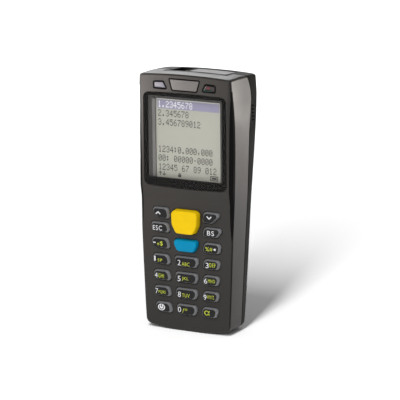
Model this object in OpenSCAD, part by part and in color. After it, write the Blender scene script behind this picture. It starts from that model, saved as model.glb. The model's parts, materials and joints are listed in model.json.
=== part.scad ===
// Portable barcode data terminal: a hand-held keypad computer that reads
// codes through a window in its top end. Millimetres. It stands on its lower
// end: +Z runs up the body, the keypad faces -Y, the origin is the centre of
// the base.

/* [Body] */
// Height of the body, standing on its end
body_h = 124.2; // [122.6:0.2:126]
// Width of the body at its widest, on the parting line
body_w = 51.0; // [50.4:0.2:52.4]
// Step of the keypad face behind the display face
face_step = 1.0; // [0.6:0.1:1.2]
// Wall thickness of both case halves
wall = 1.7; // [1.6:0.1:1.8]
// Gap between the case halves, filled by the seal
seam_gap = 0.3; // [0.2:0.05:0.4]
// Radius of the long edges at the back
back_r = 3.6; // [3.2:0.1:4]

/* [Keys] */
// Clearance round each key cap in the case
key_gap = 0.15; // [0.12:0.01:0.18]
// How far the flange of a cap reaches behind the case
key_flange = 0.3; // [0.25:0.05:0.3]
// Height of the small caps above the keypad face
key_rise = 1.5; // [1.1:0.1:1.7]
// Height of the yellow scan cap above the keypad face
scan_rise = 3.2; // [2.8:0.1:3.4]
// Height of the blue enter cap above the keypad face
enter_rise = 2.2; // [1.6:0.1:2.4]
// Width of the sloping rim round a cap
key_bevel = 0.75; // [0.5:0.05:0.9]

/* [Display] */
// Half width of the display lens
lens_hw = 21.9; // [21.2:0.1:22]
// Thickness of the display lens
lens_t = 0.95; // [0.8:0.05:1]
// Half width of the glass of the liquid crystal display
lcd_hw = 17.8; // [17.2:0.1:18]

/* [Battery door] */
// Half width of the battery door
door_hw = 15.6; // [15:0.1:15.8]
// Height of the door's upper edge
door_top = 72; // [68:0.5:74]

/* [Fasteners] */
// Radius of the thread of a case screw
screw_r = 0.8; // [0.7:0.05:0.8]
// Radius of the head of a case screw
head_r = 1.45; // [1.3:0.05:1.5]

/* [Hidden] */
$fn = 48;

H = body_h;
y_face = -12.4;                    // display face
y_keys = y_face + face_step;       // keypad face
y_back = 15.4;                     // back of the head
door_k = 0.05;                     // slope of the lower back, y per z
board_y0 = -5.6;                   // front of the main board
board_y1 = -4.4;                   // back of the main board
flange_y0 = y_keys + 1.8;          // front of the key flanges
flange_y1 = y_keys + 2.45;         // back of the key flanges
door_t = 1.3;                      // thickness of the door

// ---------- outline of the body ----------
function lerp(a, b, t) = a + (b - a)*t;
function hwid(z) = (z < 90 ? 25.3 - 2.75*pow((90 - z)/90, 1.5)
                           : 25.3 - pow((z - 90)/32, 2)) + (body_w - 51)/2;
function ylow(z) = 6.8 + door_k*(z - 5);
function yback(z) = z < 58 ? ylow(z) : z > 114 ? y_back :
    let (t = (z - 58)/56)
    (2*t*t*t - 3*t*t + 1)*ylow(58) + (t*t*t - 2*t*t + t)*4.7
    + (3*t*t - 2*t*t*t)*y_back + (t*t*t - t*t)*8;
function yfront(z) = z <= 63.8 ? y_keys : z >= 69.6 ? y_face :
    lerp(y_keys, y_face, (z - 63.8)/5.8);
function crown_t(x, y) = 0.9*pow(abs(x)/24, 2.2) + (y < -4 ? 0 : 1.0*pow((y + 4)/18, 1.4));
function crown_b(x) = abs(x) < 7 ? 0 : 1.9*pow((abs(x) - 7)/14.5, 1.5);
function zpt(z, x, y) = z + crown_b(x)*max(0, 1 - z/12) - crown_t(x, y)*max(0, 1 - (H - z)/12);
// radius of the long edges at the front, and at the back
function front_r(z) = lookup(z, [[0, 1.0], [50, 1.1], [62, 1.5], [74, 2.1], [86, 2.8], [104, 3.0], [112, 2.5], [116, 1.7], [120, 1.4]]);
function rear_r(z) = back_r - 1.2*min(1, max(0, (z - 70)/34));
// narrow groove that runs down each front edge, as [angle, depth] round the edge
GROOVE = [[0, 0], [20, 0], [36, 0], [38, 0.45], [60, 0.45], [62, 0], [76, 0], [90, 0]];

// right half of a level cut through the body, front middle to back middle
function halfsec(z, ix, iy, d) =
    let (hw = hwid(z) - ix - d, hs = hw + 0.2, yf = yfront(z) + iy + d,
         yb = yback(z) - iy - d, rf = max(0.4, front_r(z) - d), rb = max(1.2, rear_r(z) - d),
         gr = d < 0.01 ? 1 : 0)
    concat([for (x = [0, 7, 12.5, 17.5]) [x*min(1, hw/21), yf]],
           [for (q = GROOVE) let (r = rf - gr*q[1]) [hw - rf + r*sin(q[0]), yf + rf - r*cos(q[0])]],
           [[hs, lerp(yf, yb, 0.62)]],
           [for (i = [0:5]) [hs - 0.15 - rb + rb*cos(18*i), yb - rb + rb*sin(18*i)]],
           [for (x = [16.2, 12.5, 7, 0]) [x*min(1, hw/21), yb]]);
function mirrored(h) = [for (i = [len(h) - 2:-1:1]) [-h[i][0], h[i][1]]];
function ring(r, d) =
    let (h = halfsec(r[0], r[1], r[2], d), c = concat(h, mirrored(h)), s = r[3])
    [for (p = c) let (x = p[0]*s, y = -1 + (p[1] + 1)*s) [x, y, zpt(r[0], x, y)]];
function ring_faces(n, m) = [for (i = [0:n - 2], j = [0:m - 1], k = [0, 1])
    let (a = i*m + j, b = a + m, c = (i + 1)*m + (j + 1)%m, e = i*m + (j + 1)%m)
    k == 0 ? [a, b, c] : [a, c, e]];
function cap_faces(n, m) = concat([for (j = [0:m - 1]) [n*m, j, (j + 1)%m]],
    [for (j = [0:m - 1]) [n*m + 1, (n - 1)*m + (j + 1)%m, (n - 1)*m + j]]);

function stations(d) = d > 1 ?
    [[d, 1.6, 0, 0.4], [d, 1.6, 0, 0.75], [d, 1.6, 0, 1], [d + 0.9, 0.3, 0, 1], [12, 0, 0, 1],
     [28, 0, 0, 1], [48, 0, 0, 1], [63.8 - 0.5, 0, 0, 1], [69.6, 0, 0, 1], [78, 0, 0, 1],
     [87, 0, 0, 1], [96, 0, 0, 1], [105, 0, 0, 1], [114, 0, 0, 1],
     [H - d - 0.4, 0, 0, 1], [H - d, 0.4, 0, 1], [H - d, 0.4, 0, 0.75], [H - d, 0.4, 0, 0.4]] :
    [[d, 2.4, 1, 0.4], [d, 2.4, 1, 0.75], [d, 2.4, 1, 1], [d + 0.4, 1.2, 0.2, 1], [d + 1, 0.6, 0, 1],
     [d + 2, 0.14, 0, 1], [d + 3, 0, 0, 1], [12, 0, 0, 1], [24, 0, 0, 1], [36, 0, 0, 1],
     [48, 0, 0, 1], [57, 0, 0, 1], [63.8, 0, 0, 1], [69.6, 0, 0, 1], [76, 0, 0, 1], [82, 0, 0, 1],
     [88, 0, 0, 1], [94, 0, 0, 1], [100, 0, 0, 1], [107, 0, 0, 1], [114, 0, 0, 1],
     [H - d - 1.1, 0, 0, 1], [H - d - 0.45, 0.2, 0.12, 1], [H - d - 0.12, 0.55, 0.4, 1],
     [H - d, 1.1, 0.85, 1], [H - d, 1.1, 0.85, 0.75], [H - d, 1.1, 0.85, 0.4]];

// the whole body as one solid, drawn in by d all round
module body(d) {
    s = stations(d);
    r = [for (q = s) ring(q, d)];
    n = len(r);
    m = len(r[0]);
    polyhedron(concat([for (q = r, p = q) p], [[0, -1, zpt(d, 0, -1)], [0, -1, zpt(H - d, 0, -1)]]),
               concat(ring_faces(n, m), cap_faces(n, m)));
}

// ---------- helpers ----------
// a flat outline in x and z, thick from y0 to y1
module yslab(y0, y1) translate([0, y1, 0]) rotate([90, 0, 0]) linear_extrude(y1 - y0) children();
// a flat outline in y and z, thick from x0 to x1
module xslab(x0, x1) translate([x0, 0, 0]) rotate([90, 0, 90]) linear_extrude(x1 - x0) children();
// a box from its two corners
module box(a, b) translate(a) cube(b - a);
// a round bar along y
module ybar(x, z, y0, y1, r) translate([x, y1, z]) rotate([90, 0, 0]) cylinder(r = r, h = y1 - y0);
// a round bar along x
module xbar(y, z, x0, x1, r) translate([x0, y, z]) rotate([0, 90, 0]) cylinder(r = r, h = x1 - x0);

function unit(v) = v/norm(v);
function corner(A, P, B, r, n) =
    let (u = unit(A - P), v = unit(B - P), g = acos(u*v), T = P + u*(r/tan(g/2)),
         U = P + v*(r/tan(g/2)), C = P + unit(u + v)*(r/sin(g/2)),
         a = atan2(T[1] - C[1], T[0] - C[0]), b = atan2(U[1] - C[1], U[0] - C[0]),
         w = (b - a + 540)%360 - 180)
    [for (i = [0:n]) C + r*[cos(a + w*i/n), sin(a + w*i/n)]];
// corners given as [x, z, radius] become a rounded outline
function rounded(P, n = 4) = [for (i = [0:len(P) - 1])
    let (a = P[(i + len(P) - 1)%len(P)], p = P[i], b = P[(i + 1)%len(P)])
    each corner([a[0], a[1]], [p[0], p[1]], [b[0], b[1]], p[2], n)];
// an outline moved out by o, about its middle
function grown(P, o) =
    let (xs = [for (p = P) p[0]], zs = [for (p = P) p[1]],
         cx = (max(xs) + min(xs))/2, cz = (max(zs) + min(zs))/2,
         kx = 1 + 2*o/(max(xs) - min(xs)), kz = 1 + 2*o/(max(zs) - min(zs)))
    [for (p = P) [cx + (p[0] - cx)*kx, cz + (p[1] - cz)*kz]];
function flip(P) = [for (i = [len(P) - 1:-1:0]) [-P[i][0], P[i][1], P[i][2]]];

// ---------- parting line, in y and z ----------
seam = [[3.7, 130], [4.0, 123.3], [4.8, 122.3], [6.4, 119.2], [7.3, 115.8], [7.7, 112.4], [4.6, 96.7],
        [3.9, 87.8], [3.3, 68.6], [1.9, 45.5], [1.2, 31.5], [0.7, 17.8], [0.6, -5]];
function seam_y(z) = let (s = [for (i = [len(seam) - 1:-1:0]) [seam[i][1], seam[i][0]]]) lookup(z, s);
// in the middle of the top end the back half reaches further forward
module tongue(g) box([-15.6 - g, -3.4 - g, 120.9 - g], [17.4 + g, 7, 131]);
module front_side(g) difference() {
    xslab(-40, 40) polygon(concat([for (p = seam) [p[0] - g, p[1]]], [[-40, -5], [-40, 130]]));
    tongue(g);
}
module back_side(g) {
    xslab(-40, 40) polygon(concat([for (p = seam) [p[0] + g, p[1]]], [[40, -5], [40, 130]]));
    tongue(-g);
}

// ---------- outlines on the front ----------
// display lens, drawn in by e
function lens_outline(e) = rounded([[-lens_hw + e, 70.2 + e, 3], [0, 69.5 + e, 300],
    [lens_hw - e, 70.2 + e, 3], [lens_hw - e, 114.8 - e, 3], [0, 115.5 - e, 300],
    [-lens_hw + e, 114.8 - e, 3]], 5);
function badge_outline(e) = rounded([[-8.4 + e, 122.1 - e, 0.7], [-6.7 + e, 116.2 + e, 0.9],
    [6.7 - e, 116.2 + e, 0.9], [8.4 - e, 122.1 - e, 0.7]]);
function lamp_corners(e) = [[-16.5 + e, 120.4 - e, 0.9], [-16.5 + e, 116.7 + e, 0.7],
    [-8.8 - e, 116.7 + e, 0.8], [-11.0 - e, 120.7 - e, 1.0]];
function lamp_outline(e) = rounded(lamp_corners(e));
function lamp_outline_r(e) = rounded(flip(lamp_corners(e)));
// inner edge of the dark strips, x at height z, and how far round the side they reach
strip_in = [[45, 24.1], [49, 23.55], [54, 23.2], [60, 23.1], [72, 23.05], [90, 23.25], [99, 23.35],
            [106, 23.5], [113, 23.75], [118, 24.1]];
strip_out = [[45, -10.9], [52, -10.4], [64, -9.9], [84, -9.7], [104, -9.7], [112, -10.3], [118, -11.0]];
module strip_zone(e) intersection() {
    yslab(-14, -9) polygon(concat([for (p = strip_in) [p[1] + e, p[0]]], [[28, 118 - e], [28, 45 + e]]));
    xslab(20, 30) polygon(concat([for (p = strip_out) [p[1] - e, p[0]]], [[-16, 118 - e], [-16, 45 + e]]));
}

// ---------- keys: corners as [x, z, radius], left column; the right one is flipped ----------
K_up = [[-17.6, 59.6, 1.2], [-17.7, 57.8, 1.2], [-13.9, 54.2, 1.9], [-8.4, 54.3, 1.5], [-9.4, 59.7, 2.0]];
K_esc = [[-18.9, 52.3, 1.3], [-18.7, 50.4, 1.2], [-16.7, 47.6, 1.8], [-8.2, 47.5, 1.6], [-9.7, 52.4, 2.2]];
K_min = [[-19.0, 44.8, 1.7], [-17.7, 39.8, 1.9], [-8.2, 39.6, 1.6], [-9.8, 44.9, 2.2]];
K_1 = [[-18.6, 36.8, 1.7], [-17.2, 32.0, 1.9], [-8.15, 31.8, 1.6], [-9.6, 36.9, 2.2]];
K_4 = [[-18.3, 29.0, 1.7], [-16.8, 24.2, 1.9], [-8.0, 24.0, 1.6], [-9.4, 29.1, 2.2]];
K_7 = [[-18.0, 21.2, 1.7], [-16.5, 16.4, 1.9], [-7.8, 16.2, 1.6], [-9.2, 21.3, 2.2]];
K_pow = [[-17.4, 13.3, 1.7], [-15.9, 8.5, 1.9], [-7.3, 8.3, 1.6], [-8.7, 13.4, 2.2]];
function mid_key(w, z0, z1) = [[-w + 0.3, z1, 1.6], [-w, z0 + 2.4, 1.8], [-w + 1.2, z0, 1.8],
    [w - 1.2, z0, 1.8], [w, z0 + 2.4, 1.8], [w - 0.3, z1, 1.6]];
K_scan = [[-7.3, 59.6, 2.5], [-6.9, 52.3, 5], [-4.6, 48.0, 2.3], [4.6, 48.0, 2.3], [6.9, 52.3, 5], [7.3, 59.6, 2.5]];
K_ent = [[-6.4, 45.2, 1.6], [-6.1, 42.4, 2], [-4.4, 39.3, 1.9], [4.4, 39.3, 1.9], [6.1, 42.4, 2], [6.4, 45.2, 1.6]];
KEYS = [K_up, flip(K_up), K_esc, flip(K_esc), K_min, flip(K_min),
        K_1, mid_key(6.5, 31.8, 36.9), flip(K_1), K_4, mid_key(6.25, 24.0, 29.1), flip(K_4),
        K_7, mid_key(5.95, 16.2, 21.3), flip(K_7), K_pow, mid_key(5.6, 8.3, 13.4), flip(K_pow),
        K_scan, K_ent];
function mid(P) = [let (xs = [for (p = P) p[0]]) (max(xs) + min(xs))/2,
                   let (zs = [for (p = P) p[1]]) (max(zs) + min(zs))/2];

// one cap: flange, straight wall, sloping rim and flat top
module cap(i, rise, in = 0) {
    P = rounded(KEYS[i], 3);
    m = len(P);
    yt = y_keys - rise;
    L = [[flange_y1, key_flange], [flange_y0, key_flange], [flange_y0, 0], [y_keys, 0], [yt + 0.8, -in], [yt + 0.25, -in - 0.22], [yt, -in - key_bevel]];
    R = [for (l = L) let (q = grown(P, l[1])) [for (p = q) [p[0], l[0], p[1]]]];
    c = mid(KEYS[i]);
    polyhedron(concat([for (q = R, p = q) p], [[c[0], flange_y1, c[1]], [c[0], yt, c[1]]]),
        concat(ring_faces(len(L), m), cap_faces(len(L), m)));
}
module small_cap(i) color([0.42, 0.42, 0.43]) cap(i, key_rise);

// ---------- screws ----------
SCREWS = [[20.3, 117.5], [-20.3, 117.5], [20.0, 66.3], [-20.0, 66.3], [18.2, 4.7], [-18.2, 4.7]];
BOARD_SCREWS = [[10.5, 66.3], [-10.5, 66.3]];
function head_y(p) = p[1] > 100 ? 12.6 : ylow(p[1]) - 2.4;   // seat under the head

// tilted block that follows the lower back: depths are measured in from the back face
module door_block(hw, z0, z1, d0, d1) xslab(-hw, hw)
    polygon([[ylow(z0) - d1, z0], [ylow(z0) - d0, z0], [ylow(z1) - d0, z1], [ylow(z1) - d1, z1]]);

// ---------- case ----------
module front_case() color([0.36, 0.34, 0.33]) difference() {
    union() {
        difference() {
            intersection() { body(0); front_side(seam_gap/2); }
            body(wall);
        }
        intersection() {
            body(0.6);
            union() {
                for (p = SCREWS) ybar(p[0], p[1], y_keys + 0.6, seam_y(p[1]) - 0.6, 1.9);
                for (p = BOARD_SCREWS) ybar(p[0], p[1], y_keys + 0.6, board_y0, 2.2);
            }
        }
    }
    for (p = SCREWS) ybar(p[0], p[1], seam_y(p[1]) - 8, 20, screw_r + 0.03);
    for (p = BOARD_SCREWS) ybar(p[0], p[1], board_y0 - 3.6, 20, screw_r + 0.03);
    yslab(-14, y_face + 0.05 + lens_t) polygon(lens_outline(0));
    yslab(-14, -9) polygon(rounded([[-19.7, 72.3, 1.5], [19.7, 72.3, 1.5], [19.7, 113.2, 1.5], [-19.7, 113.2, 1.5]]));
    yslab(-14, y_face + 0.55) polygon(badge_outline(0));
    yslab(-14, y_face + 1.0) polygon(lamp_outline(0));
    yslab(-14, y_face + 1.0) polygon(lamp_outline_r(0));
    ybar(-13.2, 118.8, -12, -9, 1.2);
    ybar(13.2, 118.8, -12, -9, 1.2);
    strip_zone(0);
    mirror([1, 0, 0]) strip_zone(0);
    for (k = KEYS) yslab(-14, y_keys + 3) polygon(grown(rounded(k, 3), key_gap));
}

module back_case() color([0.34, 0.33, 0.33]) difference() {
    union() {
        difference() {
            intersection() { body(0); back_side(seam_gap/2); }
            body(wall);
        }
        // bosses, door ledge and battery well, kept inside the outer skin
        intersection() {
            body(0.4);
            union() {
                for (p = SCREWS) ybar(p[0], p[1], seam_y(p[1]) + 0.6, 16, 2.2);
                door_block(17.4, 1.5, door_top + 1.4, 0.3, 2.8);
                box([-15.4, -2.4, 11.4], [15.4, ylow(12) - 2.2, 64.6]);
            }
        }
        // shelf that carries the scan window, kept off the seal and the front half
        intersection() {
            box([-17.2, -3.2, 118.4], [18.0, 13.6, 124]);
            union() {
                body(wall + 0.1);
                intersection() { body(0.4); back_side(seam_gap/2); }
            }
        }
    }
    // battery compartment, its opening, and the door's seat with side grooves
    box([-13.9, -1.4, 12.9], [13.9, 20, 63.1]);
    door_block(door_hw + 0.1, -3, door_top + 0.1, -6, door_t + 0.1);
    door_block(door_hw + 0.6, -3, door_top + 0.1, 0.65, door_t + 0.1);
    // screws
    for (p = SCREWS) {
        ybar(p[0], p[1], -5, 20, screw_r + 0.3);
        ybar(p[0], p[1], head_y(p), 20, head_r + 0.2);
    }
    // top recess: a well at its left, the seat of the scan window and the way down to the engine
    box([-13.8, -1.6, 120.4], [-5.2, 11.6, 130]);
    box([-4.5, -1.0, 122.0], [15.8, 11.4, 130]);
    box([-3.4, 0.8, 110], [12.6, 9.4, 123]);
    // side grille and contacts
    xslab(22, 30) polygon(grille_outline(0));
    for (x = [-7.5, -2.5, 2.5, 7.5]) box([x - 1.3, 1.5, -1], [x + 1.3, 4.3, 0.9]);
}

module case_seal() color([0.06, 0.06, 0.06]) difference() {
    intersection() {
        difference() { body(0.5); body(1.58); }
        front_side(-seam_gap/2 + 0.03);
        back_side(-seam_gap/2 + 0.03);
    }
    door_block(door_hw + 0.7, -3, 20, -6, 4);
}

function grille_outline(e) = [[7.5, 112.2 - e], [4.4, 96.9 + e], [10.4 - e, 98.4 + e], [11.9 - e, 109.8 - e]];
module side_grille() color([0.33, 0.32, 0.32]) difference() {
    intersection() {
        body(0.1);
        xslab(23.35, 30) polygon(grille_outline(0.08));
        back_side(seam_gap/2 + 0.04);
    }
    for (z = [101.5, 103.1, 104.8, 106.5, 108.2]) xslab(20, 30)
        polygon(rounded([[7.7, z - 0.45, 0.4], [9.9, z - 0.45, 0.4], [9.9, z + 0.45, 0.4], [7.7, z + 0.45, 0.4]]));
}

module battery_door() color([0.33, 0.32, 0.32]) union() {
    intersection() {
        body(0);
        union() {
            door_block(door_hw, -2, door_top, -4, door_t);
            door_block(door_hw + 0.5, 2.4, door_top - 2, 0.75, door_t);
        }
    }
    // grip ribs
    for (z = [58, 60.2, 62.4, 64.6, 66.8]) door_block(6.2, z, z + 1, ylow(z) - yback(z + 1) - 0.25, 0.2);
}

module battery_pack() color([0.15, 0.25, 0.5]) union() {
    box([-13.4, -1.2, 13.4], [13.4, 5.0, 61.2]);
}
module battery_contacts() color([0.85, 0.68, 0.3]) for (x = [-7.5, -2.5, 2.5, 7.5])
    xslab(x - 0.7, x + 0.7) polygon([[-1.3, 63.05], [-1.3, 61.3], [-1.0, 61.3], [-1.0, 62.6], [2.6, 62.6], [3.1, 61.3], [3.4, 61.45], [2.9, 63.05]]);

// ---------- display ----------
module display_lens() color([0.1, 0.1, 0.1, 0.6]) yslab(y_face + 0.05, y_face + 0.05 + lens_t) polygon(lens_outline(0.08));
module lcd_bezel() color([0.5, 0.49, 0.47]) difference() {
    yslab(y_face + wall + 0.04, -8.5) polygon([[-20.6, 71.4], [20.6, 71.4], [20.6, 114.2], [-20.6, 114.2]]);
    yslab(-14, -7) polygon(rounded([[-17.3, 73.2, 0.5], [17.3, 73.2, 0.5], [17.3, 111.4, 0.5], [-17.3, 111.4, 0.5]]));
}
module lcd_frame() color([0.75, 0.75, 0.76]) difference() {
    box([-18.6, -8.45, 71.4], [18.6, -5.65, 114.1]);
    box([-lcd_hw - 0.1, -9, 72.0], [lcd_hw + 0.1, -6.0, 113.4]);
    box([-14, -9, 74], [14, -5, 111]);
    box([-6.4, -9, 70], [6.4, -6.7, 73]);
}
module lcd_glass() color([0.75, 0.75, 0.68]) box([-lcd_hw, -8.45, 72.1], [lcd_hw, -7.05, 113.3]);
module backlight() color([0.93, 0.95, 0.93]) box([-lcd_hw, -7.03, 72.1], [lcd_hw, -6.02, 113.3]);
module lcd_flex() color([0.75, 0.45, 0.15]) xslab(-6, 6)
    polygon([[-7.3, 72.05], [-7.3, 70.0], [-6.9, 67.2], [-6.3, 65.6], [-5.65, 65.6], [-5.65, 65.85], [-6.15, 65.85],
             [-6.7, 67.3], [-7.08, 70.0], [-7.08, 72.05]]);

// ---------- electronics ----------
module main_board() color([0.05, 0.35, 0.18]) difference() {
    box([-17.8, board_y0, 7.6], [17.8, board_y1, 115.4]);
    for (p = BOARD_SCREWS) ybar(p[0], p[1], -9, 0, 1.1);
}
module board_components() color([0.08, 0.08, 0.09]) {
    box([-6.5, board_y1, 84.5], [6.5, board_y1 + 1.4, 97.5]);
    box([8.2, board_y1, 88], [15.2, board_y1 + 1.1, 96]);
    box([-16, board_y1, 84], [-8.5, board_y1 + 1.1, 94]);
    box([-5, board_y1, 14], [5, board_y1 + 1.8, 19]);
    box([-8, board_y1, 50], [8, board_y1 + 1.8, 56]);
}
module backup_cell() color([0.75, 0.75, 0.74]) ybar(0, 75.5, board_y1, board_y1 + 2.2, 6);
module board_screws() color([0.7, 0.7, 0.7]) for (p = BOARD_SCREWS) union() {
    ybar(p[0], p[1], board_y0 - 3.2, board_y1 + 0.4, screw_r);
    ybar(p[0], p[1], board_y1, board_y1 + 1.0, head_r);
}
module case_screws() color([0.25, 0.25, 0.26]) for (p = SCREWS) difference() {
    union() {
        ybar(p[0], p[1], seam_y(p[1]) - 7, head_y(p) + 0.4, screw_r);
        ybar(p[0], p[1], head_y(p), head_y(p) + 1.2, head_r);
    }
    box([p[0] - 0.85, head_y(p) + 0.6, p[1] - 0.18], [p[0] + 0.85, 30, p[1] + 0.18]);
    box([p[0] - 0.18, head_y(p) + 0.6, p[1] - 0.85], [p[0] + 0.18, 30, p[1] + 0.85]);
}
module key_membrane() color([0.55, 0.55, 0.55]) union() {
    yslab(flange_y1 + 0.95, flange_y1 + 1.75) polygon(rounded([[-18.8, 7.2, 1], [18.8, 7.2, 1], [20.2, 46, 2], [19.6, 61.6, 1], [-19.6, 61.6, 1], [-20.2, 46, 2]]));
    for (k = KEYS) let (c = mid(k)) ybar(c[0], c[1], flange_y1 + 1.7, flange_y1 + 2.7, 1.3);
}
module dome_switches() color([0.8, 0.8, 0.78]) for (k = KEYS) let (c = mid(k)) ybar(c[0], c[1], board_y0 - 0.35, board_y0, 2.2);

module scan_window() color([0.25, 0.03, 0.04]) intersection() {
    body(0.25);
    box([-4.4, -0.9, 122.04], [15.7, 11.3, 126]);
}
module scan_engine() color([0.2, 0.2, 0.22]) difference() {
    box([-7.6, -2.9, 106.2], [13.0, 11.0, 117.8]);
    box([-3.2, 1.6, 112], [5.6, 8.6, 119]);
    box([7.2, 1.6, 114], [11.8, 8.6, 119]);
}
module scan_bracket() color([0.7, 0.71, 0.72]) union() {
    box([-9.6, board_y1, 103.6], [15.0, board_y1 + 1.4, 114.5]);
    box([-7.6, board_y1, 105.0], [13.0, 8, 106.1]);
}
module buzzer() color([0.12, 0.12, 0.13]) difference() {
    xbar(6.4, 104.8, 18.9, 22.6, 5.2);
    xbar(8.0, 104.8, 22.0, 23.5, 1.0);
}
module status_leds() color([0.9, 0.9, 0.8]) for (x = [-13.2, 13.2])
    ybar(x, 118.8, -11.2, -9.6, 1.0);
module badge_plate() color([0.3, 0.29, 0.28]) yslab(y_face + 0.1, y_face + 0.55) polygon(badge_outline(0.1));
module status_lens_left() color([0.62, 0.62, 0.72]) yslab(y_face + 0.02, y_face + 1.0) polygon(lamp_outline(0.1));
module status_lens_right() color([0.2, 0.08, 0.08]) yslab(y_face + 0.02, y_face + 1.0) polygon(lamp_outline_r(0.1));
module strip() intersection() {
    difference() { body(0.15); body(wall - 0.1); }
    strip_zone(0.06);
}
module edge_strip_right() color([0.05, 0.05, 0.05]) strip();
module edge_strip_left() color([0.05, 0.05, 0.05]) mirror([1, 0, 0]) strip();
module cradle_contacts() color([0.85, 0.68, 0.3]) for (x = [-7.5, -2.5, 2.5, 7.5])
    box([x - 1.25, 1.55, 0.3], [x + 1.25, 4.25, 0.9]);

// ---------- keys ----------
module key_up() small_cap(0);
module key_down() small_cap(1);
module key_esc() small_cap(2);
module key_bs() small_cap(3);
module key_minus() small_cap(4);
module key_percent() small_cap(5);
module key_1() small_cap(6);
module key_2() small_cap(7);
module key_3() small_cap(8);
module key_4() small_cap(9);
module key_5() small_cap(10);
module key_6() small_cap(11);
module key_7() small_cap(12);
module key_8() small_cap(13);
module key_9() small_cap(14);
module key_power() small_cap(15);
module key_0() small_cap(16);
module key_alpha() small_cap(17);
module key_scan() color([0.97, 0.84, 0.1]) cap(18, scan_rise, 0.25);
module key_enter() color([0.0, 0.6, 0.78]) cap(19, enter_rise, 0.2);

front_case();
back_case();
case_seal();
battery_door();
battery_pack();
battery_contacts();
display_lens();
lcd_bezel();
lcd_glass();
lcd_frame();
backlight();
lcd_flex();
main_board();
board_components();
backup_cell();
dome_switches();
key_membrane();
badge_plate();
status_lens_left();
status_lens_right();
status_leds();
edge_strip_left();
edge_strip_right();
scan_window();
scan_engine();
scan_bracket();
buzzer();
side_grille();
cradle_contacts();
case_screws();
board_screws();
key_up();
key_down();
key_esc();
key_bs();
key_minus();
key_percent();
key_1();
key_2();
key_3();
key_4();
key_5();
key_6();
key_7();
key_8();
key_9();
key_power();
key_0();
key_alpha();
key_scan();
key_enter();
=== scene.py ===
import math
import json
import bpy
import bmesh
from mathutils import Vector, Matrix

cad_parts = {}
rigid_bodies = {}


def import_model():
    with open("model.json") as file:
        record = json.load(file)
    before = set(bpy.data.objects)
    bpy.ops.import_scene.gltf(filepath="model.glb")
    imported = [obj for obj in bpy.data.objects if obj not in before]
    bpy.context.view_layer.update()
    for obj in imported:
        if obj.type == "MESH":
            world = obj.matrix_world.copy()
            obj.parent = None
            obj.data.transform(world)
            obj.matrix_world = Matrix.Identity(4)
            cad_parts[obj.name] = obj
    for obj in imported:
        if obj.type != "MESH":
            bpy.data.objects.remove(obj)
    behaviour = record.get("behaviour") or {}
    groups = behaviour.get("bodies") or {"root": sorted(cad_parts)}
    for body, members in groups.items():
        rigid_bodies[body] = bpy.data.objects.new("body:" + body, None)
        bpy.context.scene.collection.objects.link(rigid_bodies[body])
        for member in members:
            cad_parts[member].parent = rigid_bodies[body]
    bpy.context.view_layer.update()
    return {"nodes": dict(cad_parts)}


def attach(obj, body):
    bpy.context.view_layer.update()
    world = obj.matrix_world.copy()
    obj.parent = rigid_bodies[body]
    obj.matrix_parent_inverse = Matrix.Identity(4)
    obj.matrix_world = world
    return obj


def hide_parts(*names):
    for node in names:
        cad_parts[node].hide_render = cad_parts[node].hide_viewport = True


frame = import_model()
N = frame["nodes"]
S = 0.001          # the lists below are in millimetres

# ---------------------------------------------------------------- camera
AZ, EL, ROLL, DIST = 28.0, 12.87, -0.52, 1.173
CENTRE = Vector((0, 0, 0.0615))
a, e = math.radians(AZ), math.radians(EL)
back = Vector((math.sin(a) * math.cos(e), -math.cos(a) * math.cos(e), math.sin(e)))
cam_data = bpy.data.cameras.new("camera")
cam = bpy.data.objects.new("camera", cam_data)
bpy.context.scene.collection.objects.link(cam)
cam.location = CENTRE + back * DIST
fwd = -back
right = fwd.cross(Vector((0, 0, 1))).normalized()
up = right.cross(fwd)
r = math.radians(ROLL)
right2 = right * math.cos(r) + up * math.sin(r)
up2 = -right * math.sin(r) + up * math.cos(r)
cam.rotation_mode = "QUATERNION"
cam.rotation_quaternion = Matrix((
    (right2.x, up2.x, back.x), (right2.y, up2.y, back.y), (right2.z, up2.z, back.z))).to_quaternion()
cam_data.sensor_width = 36
cam_data.lens = 2468 / 400 * 36
cam_data.shift_x = (200 - 197.67) / 400
cam_data.shift_y = (201.01 - 200) / 400
cam_data.clip_start, cam_data.clip_end = 0.05, 50
bpy.context.scene.camera = cam
bpy.context.scene.view_settings.view_transform = "Standard"


# ---------------------------------------------------------------- materials
def principled(name, color, rough=0.5, **kw):
    m = bpy.data.materials.new(name)
    m.use_nodes = True
    b = m.node_tree.nodes["Principled BSDF"]
    b.inputs["Base Color"].default_value = (*color, 1)
    b.inputs["Roughness"].default_value = rough
    for k, v in kw.items():
        b.inputs[k.replace("_", " ")].default_value = v
    return m, m.node_tree, b


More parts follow.
